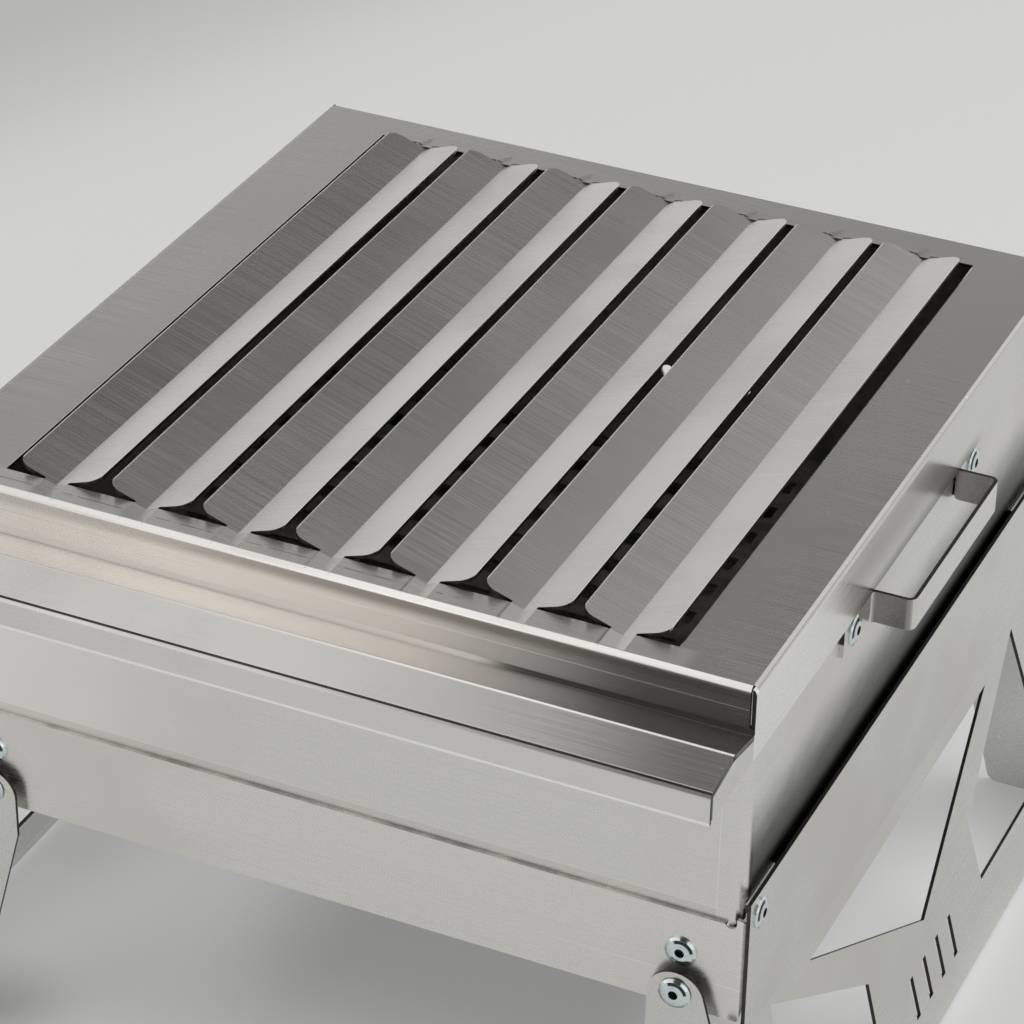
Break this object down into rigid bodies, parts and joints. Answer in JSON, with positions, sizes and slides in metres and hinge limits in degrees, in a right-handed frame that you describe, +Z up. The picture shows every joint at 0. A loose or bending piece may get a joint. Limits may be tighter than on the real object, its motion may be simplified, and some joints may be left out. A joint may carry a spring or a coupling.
{
  "type": "portable grill",
  "caption": "Folding tabletop charcoal grill: a sheet-steel firebox on splayed truss leg frames, with a slotted lift-off grill plate and a grease gutter.",
  "frame": {"origin": "on the floor, midway between the left and right feet and between the gutter's lip and the rear flange", "axes": "+X to the right, +Y to the rear away from the gutter, +Z up"},
  "size_m": [0.3968, 0.385, 0.2639],
  "materials": {
    "plate_steel": "brushed",
    "sheet_steel": "fine brushed",
    "dark_steel": "plain",
    "zinc_rivet": "zinc plated"
  },
  "bodies": {
    "firebox": {"firebox_shell": "sheet_steel", "front_apron": "sheet_steel", "rear_apron": "sheet_steel", "grate_rest_front": "sheet_steel", "grate_rest_rear": "sheet_steel", "apron_rivet_fl": "zinc_rivet", "apron_rivet_fr": "zinc_rivet", "apron_rivet_rl": "zinc_rivet", "apron_rivet_rr": "zinc_rivet", "pivot_rivet_fl": "zinc_rivet", "pivot_rivet_fr": "zinc_rivet", "pivot_rivet_rl": "zinc_rivet", "pivot_rivet_rr": "zinc_rivet", "pivot_spacer_fl": "dark_steel", "pivot_spacer_fr": "dark_steel", "pivot_spacer_rl": "dark_steel", "pivot_spacer_rr": "dark_steel", "handle_left": "sheet_steel", "handle_right": "sheet_steel", "handle_rivet_fl": "zinc_rivet", "handle_rivet_fr": "zinc_rivet", "handle_rivet_rl": "zinc_rivet", "handle_rivet_rr": "zinc_rivet"},
    "grill_plate": {"grill_plate": "plate_steel"},
    "charcoal_grate": {"charcoal_grate": "dark_steel"},
    "leg_frame_left": {"leg_frame_left": "sheet_steel", "stop_rivet_fl": "zinc_rivet", "stop_rivet_rl": "zinc_rivet"},
    "leg_frame_right": {"leg_frame_right": "sheet_steel", "stop_rivet_fr": "zinc_rivet", "stop_rivet_rr": "zinc_rivet"}
  },
  "joints": [
    {"name": "plate_lift", "type": "slide", "parent": "firebox", "child": "grill_plate", "axis": [0, 0, 1], "range_m": [0, 0.12]},
    {"name": "grate_lift", "type": "slide", "parent": "firebox", "child": "charcoal_grate", "axis": [0, 0, 1], "range_m": [0, 0.06]},
    {"name": "leg_fold_left", "type": "hinge", "parent": "firebox", "child": "leg_frame_left", "pos_m": [-0.1447, 0.0175, 0.119], "axis": [0, -1, 0], "range_deg": [0, 105]},
    {"name": "leg_fold_right", "type": "hinge", "parent": "firebox", "child": "leg_frame_right", "pos_m": [0.1447, 0.0175, 0.119], "axis": [0, 1, 0], "range_deg": [0, 105]}
  ]
}
